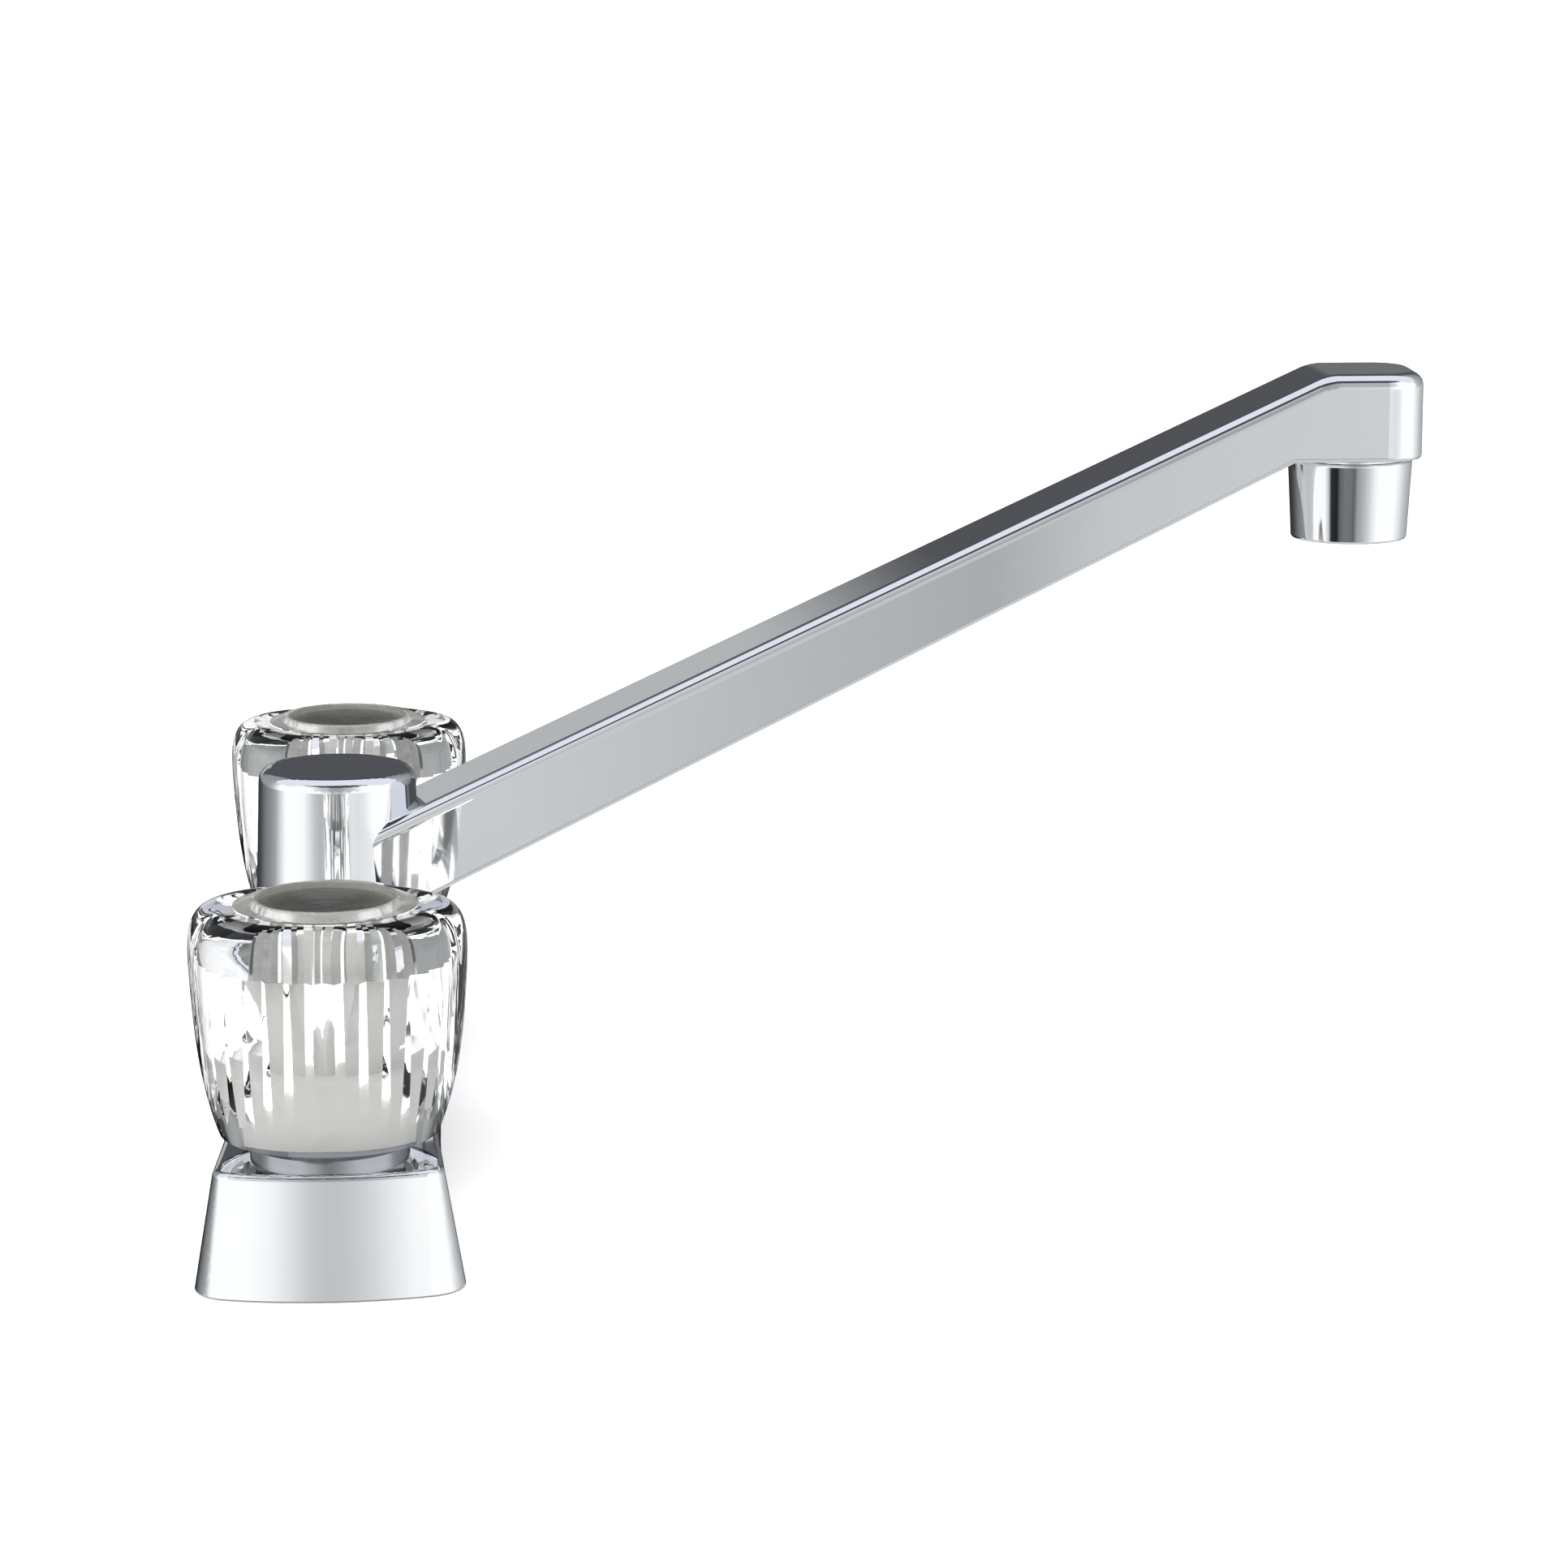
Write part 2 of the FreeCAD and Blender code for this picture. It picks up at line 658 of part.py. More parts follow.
def stem():
    spline_z = stem_top_z - spline_length
    body = cylinder(cartridge_chamber_r - running_fit, carrier_z, carrier_z + stem_carrier_height)
    way = Part.makeBox(4 * cartridge_r, stem_waterway, stem_waterway_height + 1)
    way.translate(Vector(-2 * cartridge_r, -stem_waterway / 2, carrier_z - 1))
    body = body.cut(way)
    body = body.fuse(cylinder(stem_r, carrier_z + stem_waterway_height, spline_z))
    lug_z = cartridge_top_z + stem_lug_gap
    lug = sector(stem_r + stop_lug_reach, stem_r / 2, lug_z, lug_z + stop_height - 2 * stem_lug_gap,
                 -stop_lug_deg / 2, stop_lug_deg)
    body = body.fuse(lug)
    body = body.fuse(toothed_bar(spline_count, stem_r, spline_depth, spline_z, stem_top_z))
    half = stem_o_ring_cord / 2 + stem_groove_play
    groove = ring(stem_r + 1, stem_r - stem_o_ring_cord, stem_o_ring_z - half, stem_o_ring_z + half)
    body = body.cut(groove)
    return body.cut(cylinder(stem_screw_r, stem_top_z - screw_reach, stem_top_z + 1))


def stem_o_ring():
    return torus(stem_r - stem_o_ring_cord / 2 + slip_fit / 2, stem_o_ring_cord, stem_o_ring_z)


def bonnet_nut():
    top_z = neck_top_z + cartridge_flange_thickness + bonnet_roof + slip_fit
    body = hexagon(bonnet_hex, cover_height, top_z)
    chamfer = turned([
        (0, cover_height),
        (bonnet_hex, cover_height),
        (bonnet_hex, top_z - (bonnet_hex / 2 + bonnet_chamfer_inset) * bonnet_chamfer_slope),
        (bonnet_hex / 2 - bonnet_chamfer_inset, top_z),
        (0, top_z),
    ])
    body = body.common(chamfer)
    body = body.fuse(cylinder(bonnet_flange_r, cover_height, cover_height + bonnet_flange_thickness))
    body = body.cut(cylinder(well_neck_r + slip_fit, cover_height - 1, top_z - bonnet_roof))
    return body.cut(cylinder(cartridge_neck_r + slip_fit, cover_height, top_z + 1))


# Fixings under the deck

def shank_washer():
    return ring(washer_r, shank_r + seat_gap, washer_foot_z, -deck_grip)


def lock_nut():
    z0 = washer_foot_z - nut_thickness
    body = cylinder(nut_r, z0, washer_foot_z)
    for i in range(nut_wings):
        wing = Part.makeBox(nut_wing_reach, nut_wing_width, nut_thickness - nut_wing_step)
        wing.translate(Vector(0, -nut_wing_width / 2, z0))
        ends = [e for e in wing.Edges if e.BoundBox.ZLength > 1 and e.BoundBox.XMin > nut_wing_reach - 1]
        body = body.fuse(turned_by(wing.makeFillet(nut_wing_corner, ends), 45 + 360.0 * i / nut_wings))
    return body.cut(cylinder(shank_r + slip_fit, z0 - 1, washer_foot_z + 1)).removeSplitter()


# Knob and what joins it to the stem

def lobed_row(peak_r, depth, z):
    """Points round the knob at one height: wide round lobes, a narrow valley between each two."""
    count = lobe_count * points_per_lobe
    row = []
    for i in range(count):
        turn = 2 * math.pi * i / count
        hollow = 1 - abs(math.sin(lobe_count * turn / 2))
        row.append(at_angle(peak_r - depth * hollow, turn + math.radians(first_valley_deg), z))
    return row


def knob_outside():
    """The lobed body, as one smooth skin over rows of control points, closed at foot and crown.

    Each station is the radius of a row, its height above the foot and its share of the lobes' depth.
    """
    bulge = knob_belly_r - knob_foot_r
    shoulder = knob_shoulder_rise - knob_belly_rise
    stations = [
        (knob_foot_r, 0.0, 0.0),
        (knob_foot_r + 0.27 * bulge, 0.11 * knob_belly_rise, 0.1),
        (knob_foot_r + 0.66 * bulge, 0.32 * knob_belly_rise, 0.6),
        (knob_foot_r + 0.90 * bulge, 0.66 * knob_belly_rise, 0.9),
        (knob_belly_r + 0.25, knob_belly_rise, 1.0),
        (knob_belly_r, knob_belly_rise + 0.55 * shoulder, 1.1),
        (knob_belly_r - 2.2, knob_belly_rise + 0.92 * shoulder, 1.1),
        (knob_crown_r + 2.6, knob_shoulder_rise + 0.1, 0.9),
        (knob_crown_r, knob_shoulder_rise, 0.5),
        (knob_ring_r, knob_shoulder_rise, 0.2),
    ]
    rows = [lobed_row(r, lobe_depth * share, knob_z + rise) for r, rise, share in stations]
    poles = [[row[i] for row in rows] for i in range(len(rows[0]))]
    around = len(poles)
    along = len(rows)
    skin = Part.BSplineSurface()
    skin.buildFromPolesMultsKnots(
        poles, [1] * (around + 1), [4] + [1] * (along - 4) + [4],
        list(range(around + 1)), list(range(along - 2)), True, False, 3, 3)
    side = skin.toShape()
    caps = [Part.Face(Part.Wire(e)) for e in side.Edges if e.BoundBox.ZLength < 1e-3]
    closed = Part.Compound([side] + caps)
    closed.sewShape()
    return Part.Solid(closed.Shells[0])


def flute_outline(depth, z):
    corners = []
    for i in range(2 * flute_count):
        corners.append(at_angle(hollow_r + (depth if i % 2 else 0.0), math.pi * i / flute_count, z))
    return Part.makePolygon(corners + corners[:1])


def knob():
    ring_z = knob_z + knob_shoulder_rise
    crown = turned([
        (0, ring_z - crown_root_depth),
        (knob_ring_r + crown_root_spread, ring_z - crown_root_depth),
        (knob_ring_r, ring_z + crown_step),
        (well_dish_r + knob_rim_width, knob_top_z),
        (0, knob_top_z),
    ])
    body = knob_outside().fuse(crown)
    flutes = Part.makeLoft([
        flute_outline(flute_foot_depth, knob_z + flute_run_out),
        flute_outline(flute_depth, hollow_top_z),
    ], True, True)
    body = body.cut(cylinder(hollow_r, knob_z - 1, hollow_top_z))
    body = body.cut(flutes)
    body = body.cut(toothed_bar(insert_key_teeth, insert_key_r + slip_fit, insert_key_depth,
                                hollow_top_z - 1, key_top_z))
    body = body.cut(cylinder(screw_head_r + seat_gap, key_top_z - 1, knob_top_z))
    return body.cut(cylinder(well_dish_r, dish_floor_z, knob_top_z + 1))


def knob_insert():
    """A skirt round the bonnet nut, a boss on the stem's spline and a toothed key in the knob."""
    skirt_z = knob_z + insert_foot_gap
    skirt_top_z = skirt_z + insert_skirt_height
    roof_z = skirt_top_z - insert_wall
    body = ring(insert_skirt_r, insert_skirt_r - insert_wall, skirt_z, skirt_top_z)
    body = body.fuse(cylinder(insert_skirt_r, roof_z, skirt_top_z))
    body = body.fuse(cylinder(insert_boss_r, roof_z, hollow_top_z))
    body = body.fuse(toothed_bar(insert_key_teeth, insert_key_r, insert_key_depth,
                                 hollow_top_z - insert_wall, screw_seat_z))
    collar_top_z = stem_top_z - spline_length + insert_spline_gap
    body = body.cut(cylinder(insert_collar_r, roof_z - 1, collar_top_z))
    body = body.cut(toothed_bar(spline_count, stem_r + slip_fit, spline_depth,
                                collar_top_z - 1, stem_top_z + stem_end_gap))
    return body.cut(cylinder(insert_screw_hole_r, stem_top_z, screw_seat_z + 1))


def knob_screw():
    head_top_z = screw_seat_z + screw_head_height
    body = cylinder(screw_head_r, screw_seat_z, head_top_z)
    body = body.makeFillet(screw_head_edge, circles_at(body, head_top_z, screw_head_r))
    body = body.fuse(cylinder(stem_screw_r - slip_fit, stem_top_z - screw_reach + screw_tip_gap, screw_seat_z))
    for turn_deg in (0, 90):
        recess = Part.makeBox(2 * screw_recess_r, screw_recess_width, screw_recess_depth + 1)
        recess.translate(Vector(-screw_recess_r, -screw_recess_width / 2, head_top_z - screw_recess_depth))
        body = body.cut(turned_by(recess, turn_deg))
    return body


def dish_line(radius, depth):
    """The dished line of the index disc, depth below its top: three points from the axis outwards."""
    points = []
    for r in (0.0, radius / 2, radius):
        rise = index_disc_arc_r - math.sqrt(index_disc_arc_r ** 2 - r ** 2)
        points.append(Vector(r, 0, disc_centre_z - depth + rise))
    return points


def index_button():
    inner_r = button_r - button_rim_width
    top_z = knob_top_z - button_top_drop
    seat = dish_line(inner_r, index_disc_thickness)
    corners = [
        seat[0],
        Vector(0, 0, dish_floor_z),
        Vector(button_r, 0, dish_floor_z),
        Vector(button_r, 0, top_z),
        Vector(inner_r, 0, top_z),
        seat[2],
    ]
    return spun(Part.makePolygon(corners).Edges + [Part.Arc(*seat).toShape()])


def index_disc():
    """A thin dished metal disc, spun, lying in the button."""
    top = dish_line(index_disc_r, 0.0)
    under = dish_line(index_disc_r, index_disc_thickness)
    sides = [Part.makeLine(top[2], under[2]), Part.makeLine(under[0], top[0])]
    return spun([Part.Arc(*top).toShape(), sides[0], Part.Arc(*under).toShape(), sides[1]])


def all_parts():
    parts = {
        "base_cover": base_cover(),
        "deck_gasket": deck_gasket(),
        "valve_body": valve_body(),
        "spout_lower_o_ring": spout_o_ring(lower_o_ring_z),
        "spout_upper_o_ring": spout_o_ring(upper_o_ring_z),
        "spout_snap_ring": spout_snap_ring(),
        "spout_wear_ring": spout_wear_ring(),
        "spout": spout(),
        "aerator_housing": aerator_housing(),
        "aerator_screen": aerator_screen(),
        "aerator_mixer": aerator_mixer(),
        "aerator_washer": aerator_washer(),
    }
    same_on_both_sides = {
        "seat_seal": seat_seal(),
        "fixed_disc": ceramic_disc(seal_top_z),
        "turning_disc": ceramic_disc(turning_disc_z),
        "stem": stem(),
        "stem_o_ring": stem_o_ring(),
        "bonnet_nut": bonnet_nut(),
        "shank_washer": shank_washer(),
        "lock_nut": lock_nut(),
        "knob": knob(),
        "knob_insert": knob_insert(),
        "knob_screw": knob_screw(),
        "index_button": index_button(),
        "index_disc": index_disc(),
    }
    for side, y, opening_sense in (("hot", hot_y, 1), ("cold", cold_y, -1)):
        for name, shape in same_on_both_sides.items():
            parts[side + "_" + name] = placed(shape, y=y)
        parts[side + "_cartridge_sleeve"] = placed(cartridge_sleeve(opening_sense), y=y)
    return parts


os.makedirs("parts", exist_ok=True)
for node, shape in all_parts().items():
    shape.exportStep("parts/" + node + ".step")
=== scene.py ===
import bpy
import math
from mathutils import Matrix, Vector


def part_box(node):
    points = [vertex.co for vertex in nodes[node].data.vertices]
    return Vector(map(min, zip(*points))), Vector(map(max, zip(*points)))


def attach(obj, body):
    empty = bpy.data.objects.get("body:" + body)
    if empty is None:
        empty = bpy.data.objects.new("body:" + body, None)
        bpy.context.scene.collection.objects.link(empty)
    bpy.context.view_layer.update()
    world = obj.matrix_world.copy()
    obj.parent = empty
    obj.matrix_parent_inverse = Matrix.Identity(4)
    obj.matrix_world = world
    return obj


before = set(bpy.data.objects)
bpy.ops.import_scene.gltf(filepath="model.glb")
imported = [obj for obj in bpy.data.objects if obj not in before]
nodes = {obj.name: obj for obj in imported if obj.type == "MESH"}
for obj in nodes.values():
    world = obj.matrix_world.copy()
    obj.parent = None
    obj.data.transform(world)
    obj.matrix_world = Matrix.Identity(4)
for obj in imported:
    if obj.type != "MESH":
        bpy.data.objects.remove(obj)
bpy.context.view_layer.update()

# Two-handle kitchen faucet: mirror chrome, clear acrylic knobs, brass below.
# Metres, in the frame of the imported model: Z up from the deck, the spout along +X.

mm = 0.001
deg = math.pi / 180

# The photographer's camera
camera_place = Vector((29.5, -1071.6, 295.3)) * mm
camera_pitch = 11.35 * deg          # below the horizon
camera_heading = 3.77 * deg         # from +Y towards +X
camera_lens = 111.8
camera_sensor = 36.0
camera_sight = 60.0                 # metres, past the far edge of the floor

# The light on the floor and on all that isn't a mirror
sun_strength = 3.6
sun_spread = 110 * deg
sun_lean = (12 * deg, -14 * deg, 0.0)
floor_half = 14.0

# The room that the chrome mirrors, by direction in degrees: a turn of 0 is the camera's side
# and +90 is +X, and the rise is above the horizon. Each box is a list of (turn, brightness).
room_strength = 1.18
table_boxes = (
    (-180, 0.02), (-142, 0.02), (-91, 0.035), (-83, 0.97), (-58, 0.96), (-50, 0.55),
    (-46, 0.03), (-33, 0.015), (-28, 0.12), (-19, 0.18), (-7, 0.17), (-1, 0.12), (6, 0.33),
    (18, 0.46), (28, 0.63), (38, 0.86), (48, 1.0), (88, 1.0), (101, 0.82), (114, 0.55),
    (134, 0.36), (165, 0.10), (180, 0.02))
low_boxes = (
    (-180, 0.02), (-150, 0.05), (-141, 0.09), (-124, 0.20), (-111, 0.27), (-100, 0.37),
    (-90, 0.67), (-82, 0.92), (-76, 1.0), (-50, 0.97), (-40, 0.75), (-33, 0.58), (-25, 0.47),
    (-12, 0.52), (1, 0.60), (4, 0.50), (7.3, 0.40), (8.2, 0.56), (13, 0.64), (22, 0.78),
    (31, 0.74), (40, 0.80), (52, 1.0), (86, 1.0), (104, 0.76), (118, 0.55), (135, 0.42),
    (160, 0.26), (172, 0.05), (180, 0.02))
high_boxes = (
    (-180, 0.42), (-165, 0.44), (-150, 0.28), (-118, 0.32), (-105, 0.50), (-92, 1.0),
    (-27, 1.0), (-19, 0.90), (-13, 0.74), (-7, 0.58), (-2, 0.535), (2, 0.54), (7, 0.59),
    (12, 0.67), (18, 0.80), (24, 0.92), (30, 1.0), (92, 1.0), (105, 0.50), (118, 0.40),
    (140, 0.28), (155, 0.16), (180, 0.14))
front_dimming = (                   # (rise, share of the high boxes' brightness) at the front
    (0, 1.0), (12, 1.0), (18, 0.65), (49, 0.6), (53, 0.03), (66, 0.03), (90, 0.03))
bare_table = (0.58, 0.58, 0.58)
back_wall = (0.075, 0.078, 0.086)
ceiling = (0.06, 0.062, 0.066)
top_light = (0.74, 0.76, 0.84)

# Where each part of the room gives way to the next: (last of the one, first of the other)
bare_table_edge = (-24, -34)        # rise
table_edge = (-12.4, -13.2)         # rise
horizon = (-2.5, 1.5)               # rise
back_wall_foot = (9.3, 11.3)        # rise
back_wall_low_foot = (0, 2)         # rise, right behind the faucet
ceiling_edge = (45, 49)             # rise
front_edge = (25, 45)               # turn
back_wall_edge = (148, 156)         # turn
back_wall_low_edge = (174.5, 177)   # turn
top_light_edges = {                 # metres sideways per metre up, and its lowest rise as a sine
    "lowest": (0.05, 0.06), "near": (-0.44, -0.40), "far": (0.62, 0.66), "side": (1.95, 2.05)}

# Places read from the frame
sides = ("hot", "cold")
knob_axis_y = {side: sum(corner.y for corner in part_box(side + "_stem_o_ring")) / 2 for side in sides}
knob_top_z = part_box("hot_knob")[1].z
aerator_low, aerator_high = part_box("aerator_housing")
shank_foot_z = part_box("valve_body")[0].z

# Sizes in the finishes
frost_depth = (1.5 * mm, 1.3 * mm)  # below the knob's top: where the frosted ring starts and is full
disc_groove = 0.12 * mm
disc_painted_highlight_reach = (8.5 * mm, 13 * mm)    # painted highlight: how far along X the disc's painted bright ends start and are full

# Sizes of the fine pieces
shank_r = 10.4 * mm
thread_pitch = 1.814 * mm           # 14 threads to the inch
thread_crest = 0.25 * mm
thread_flank = 0.42                 # of the pitch, above and below each crest
thread_run_out = 1 * mm             # from the shank's foot, the deck and the washer
supply_thread_gap = 4.6 * mm        # below the lock nut
mesh_reach = 9.3 * mm
mesh_spacing = 1.05 * mm
mesh_wire_r = 0.13 * mm
mesh_lift = 1.55 * mm               # above the aerator's foot
steps_per_crossing = 6              # points along a wire between two crossings
rib_count = 48
rib_width = 0.9 * mm
rib_inset = 0.6 * mm                # from the lock nut's top and foot
lock_nut_r = 15 * mm
wing_share = 0.44                   # of the nut radius squared, as |x y|, where the wings stand


# Node trees and the maths in them

class Value:
    """A number that varies over a piece: arithmetic on it adds Math nodes."""

    def __init__(self, work, socket):
        self.work = work
        self.socket = socket

    def math(self, operation, *others):
        inputs = {i: other for i, other in enumerate(others)}
        node = self.work.add("ShaderNodeMath", {"operation": operation}, inputs)
        return Value(self.work, node.outputs[0])

    def __add__(self, other):
        return self.math("ADD", self, other)

    def __radd__(self, other):
        return self.math("ADD", other, self)

    def __sub__(self, other):
        return self.math("SUBTRACT", self, other)

    def __rsub__(self, other):
        return self.math("SUBTRACT", other, self)

    def __mul__(self, other):
        return self.math("MULTIPLY", self, other)

    def __truediv__(self, other):
        return self.math("DIVIDE", self, other)

    def root(self):
        return self.math("SQRT", self)

    def size(self):
        return self.math("ABSOLUTE", self)

    def cosine(self):
        return self.math("COSINE", self)

    def arcsine(self):
        return self.math("ARCSINE", self)

    def turn_from(self, other):
        return self.math("ARCTAN2", self, other)

    def above(self, other):
        return self.math("GREATER_THAN", self, other)

    def most(self, other):
        return self.math("MAXIMUM", self, other)

    def step(self, start, end):
        """0 before start and 1 past end, with a smooth rise between them."""
        node = self.work.add(
            "ShaderNodeMapRange", {"interpolation_type": "SMOOTHSTEP", "clamp": True},
            {"Value": self, "From Min": start, "From Max": end, "To Min": 0.0, "To Max": 1.0})
        return Value(self.work, node.outputs[0])


class NodeWork:
    """A node tree under construction."""

    def __init__(self, tree):
        self.tree = tree

    def add(self, kind, settings=None, inputs=None):
        """Adds a node: its settings first, then the values or links of its sockets."""
        node = self.tree.nodes.new(kind)
        for name, setting in (settings or {}).items():
            setattr(node, name, setting)
        for name, given in (inputs or {}).items():
            socket = node.inputs[name]
            if isinstance(given, Value):
                self.tree.links.new(given.socket, socket)
            elif isinstance(given, bpy.types.NodeSocket):
                self.tree.links.new(given, socket)
            else:
                socket.default_value = given
        return node

    def axes(self, vector):
        split = self.add("ShaderNodeSeparateXYZ", None, {0: vector})
        return [Value(self, split.outputs[i]) for i in range(3)]


class Finish(NodeWork):
    """A material or the studio's surroundings, and what their patterns are drawn with."""

    def __init__(self, owner):
        owner.use_nodes = True
        super().__init__(owner.node_tree)
        self.owner = owner
        self.tree.nodes.clear()
        self.place = None

    def position(self):
        """Object coordinates, which are the frame's own metres on every piece."""
        if self.place is None:
            self.place = self.add("ShaderNodeTexCoord").outputs["Object"]
        return self.place

    def stretched(self, scale):
        """Object coordinates stretched along each axis."""
        node = self.add("ShaderNodeVectorMath", {"operation": "MULTIPLY"}, {
            0: self.position(), 1: scale})
        return node.outputs[0]

    def noise(self, size, detail=2.0, stretch=(1.0, 1.0, 1.0)):
        """Cloudy noise from 0 to 1 whose blotches are about size metres across."""
        scale = tuple(s / size for s in stretch)
        node = self.add("ShaderNodeTexNoise", None, {
            "Vector": self.stretched(scale), "Scale": 1.0, "Detail": detail, "Roughness": 0.5})
        return Value(self, node.outputs["Fac"])

    def speckle(self, size):
        """Grains of about size metres: 0 in the middle of each, and more towards its rim."""
        node = self.add("ShaderNodeTexVoronoi", None, {
            "Vector": self.stretched((1 / size,) * 3), "Scale": 1.0})
        return Value(self, node.outputs["Distance"])

    def ramp(self, position, stops):
        """A slightly cool grey that follows position through (position, brightness) stops."""
        start = stops[0][0]
        span = stops[-1][0] - start
        node = self.add("ShaderNodeValToRGB", None, {0: (position - start) / span})
        elements = node.color_ramp.elements
        while len(elements) < len(stops):
            elements.new(1.0)
        for element, (at, grey) in zip(elements, stops):
            cool = (0.93 + 0.07 * grey, 0.985 + 0.015 * grey, 1.0)
            element.position = (at - start) / span
            element.color = (*(grey * c for c in cool), 1.0)
        return node.outputs[0]

    def blend(self, factor, first, second, kind="MIX"):
        """A colour between first and second, or with kind MULTIPLY, first darkened by second."""
        node = self.add("ShaderNodeMix", {"data_type": "RGBA", "blend_type": kind}, {0: factor})
        for socket, given in ((node.inputs[6], first), (node.inputs[7], second)):
            if isinstance(given, bpy.types.NodeSocket):
                self.tree.links.new(given, socket)
            else:
                socket.default_value = (*given, 1.0)
        return node.outputs[2]

    def bump(self, height, depth, strength=1.0):
        """A normal that follows height, where 1 stands for depth metres."""
        node = self.add("ShaderNodeBump", None, {
            "Height": height, "Distance": depth, "Strength": strength})
        return node.outputs[0]

    def shader(self, varying, fixed):
        """What varies is linked, and what is the same all over is set on its socket."""
        return self.add("ShaderNodeBsdfPrincipled", None, {**fixed, **varying}).outputs[0]

    def covered(self, shader):
        self.add("ShaderNodeOutputMaterial", None, {"Surface": shader})
        return self.owner

    def surface(self, varying, fixed):
        return self.covered(self.shader(varying, fixed))


class Growth(NodeWork):
    """A Geometry Nodes tree with named inputs for its sizes, and the piece it grows."""

    def __init__(self, name):
        super().__init__(bpy.data.node_groups.new(name, "GeometryNodeTree"))
        self.tree.interface.new_socket("Geometry", in_out="OUTPUT", socket_type="NodeSocketGeometry")
        self.given = self.tree.nodes.new("NodeGroupInput")
        self.name = name
        self.sizes = {}

    def size(self, name, value, kind="NodeSocketFloat"):
        socket = self.tree.interface.new_socket(name, in_out="INPUT", socket_type=kind)
        self.sizes[socket.identifier] = value
        return Value(self, self.given.outputs[name])

    def piece(self, geometry, finish, body):
        """One plain mesh that rides with a body."""
        whole = self.add("GeometryNodeRealizeInstances", None, {0: geometry})
        painted = self.add("GeometryNodeSetMaterial", None, {
            "Geometry": whole.outputs[0], "Material": finish})
        self.add("NodeGroupOutput", None, {0: painted.outputs[0]})
        grown = bpy.data.objects.new(self.name, bpy.data.meshes.new(self.name))
        bpy.context.scene.collection.objects.link(grown)
        modifier = grown.modifiers.new("growth", "NODES")
        modifier.node_group = self.tree
        for identifier, value in self.sizes.items():
            modifier[identifier] = value
        evaluated = grown.evaluated_get(bpy.context.evaluated_depsgraph_get())
        mesh = bpy.data.meshes.new_from_object(evaluated)
        grown.modifiers.clear()
        grown.data = mesh
        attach(grown, body)


# Finishes

def new_finish(name):
    return Finish(bpy.data.materials.new(name))


def mirror_chrome():
    """Bright plating: a near mirror with faint polishing haze and a trace of orange peel."""
    f = new_finish("mirror_chrome")
    haze = f.noise(35 * mm, 3.0)
    wipe = f.noise(4 * mm, 2.0, (1.0, 0.15, 1.0))
    peel = f.noise(9 * mm, 1.0)
    return f.surface(
        {"Base Color": f.blend(haze, (0.815, 0.83, 0.85), (0.86, 0.87, 0.885)),
         "Roughness": 0.018 + haze * 0.02 + wipe * 0.012,
         "Normal": f.bump(peel, 0.02 * mm, 0.25)},
        {"Metallic": 1.0})


def clear_acrylic():
    """Moulded acrylic: clear, with soft flow ripples and a milky frosted ring round the button."""
    f = new_finish("clear_acrylic")
    z = f.axes(f.position())[2]
    frost_start, frost_full = frost_depth
    frosted = z.step(knob_top_z - frost_start, knob_top_z - frost_full)
    ripple = f.noise(7 * mm, 2.0, (1.0, 1.0, 0.35))
    fine = f.noise(1.6 * mm, 1.0, (1.0, 1.0, 0.3))
    cloud = f.noise(3 * mm, 2.0)
    clear = f.shader(
        {"Base Color": f.blend(cloud, (0.925, 0.93, 0.925), (0.955, 0.96, 0.957)),
         "Roughness": 0.008 + ripple * 0.012 + frosted * 0.12,
         "Normal": f.bump(ripple + fine * 0.15, 0.12 * mm, 0.35)},
        {"Transmission Weight": 1.0, "IOR": 1.49})
    milky = f.shader(
        {"Base Color": f.blend(cloud, (0.27, 0.265, 0.24), (0.34, 0.335, 0.305)),
         "Roughness": 0.22 + cloud * 0.1},
        {"Metallic": 0.0})
    mixed = f.add("ShaderNodeMixShader", None, {0: frosted * (0.5 + cloud * 0.2), 1: clear, 2: milky})
    return f.covered(mixed.outputs[0])


def brushed_disc():
    """A small metal disc brushed in circles, with a warm grey cast and a painted highlight: its two
    ends along X are painted brighter.
    """
    f = new_finish("brushed_disc")
    x, y, z = f.axes(f.position())
    off_axis = y.size() - abs(knob_axis_y["hot"])
    radius = (x * x + off_axis * off_axis).root()
    rings = f.add("ShaderNodeTexNoise", {"noise_dimensions": "1D"}, {
        "W": radius / disc_groove, "Scale": 1.0, "Detail": 3.0})
    lines = Value(f, rings.outputs["Fac"])
    worn = f.noise(5 * mm, 2.0)
    # painted highlight: the disc's ends along X are lightened towards pale cream, standing in for
    # light glinting on them
    painted_highlight = x.size().step(*disc_painted_highlight_reach)
    colour = f.blend(lines * 0.6 + worn * 0.4, (0.37, 0.355, 0.325), (0.62, 0.60, 0.56))
    return f.surface(
        {"Base Color": f.blend(painted_highlight * 0.8, colour, (0.78, 0.76, 0.70)),
         "Roughness": 0.16 + lines * 0.10,
         "Normal": f.bump(lines, 0.07 * mm, 1.0)},
        {"Metallic": 1.0})


def shade_darkened_nickel():
    """A greyer, softer metal than the chrome for the bonnet nuts: painted shade, their chrome darkened
    for the shade in the gap under the knobs.
    """
    f = new_finish("shade_darkened_nickel")
    cloud = f.noise(8 * mm, 3.0)
    wipe = f.noise(1.2 * mm, 2.0, (1.0, 1.0, 0.2))
    return f.surface(
        {"Base Color": f.blend(cloud, (0.36, 0.375, 0.40), (0.50, 0.515, 0.54)),
         "Roughness": 0.12 + wipe * 0.12},
        {"Metallic": 1.0})


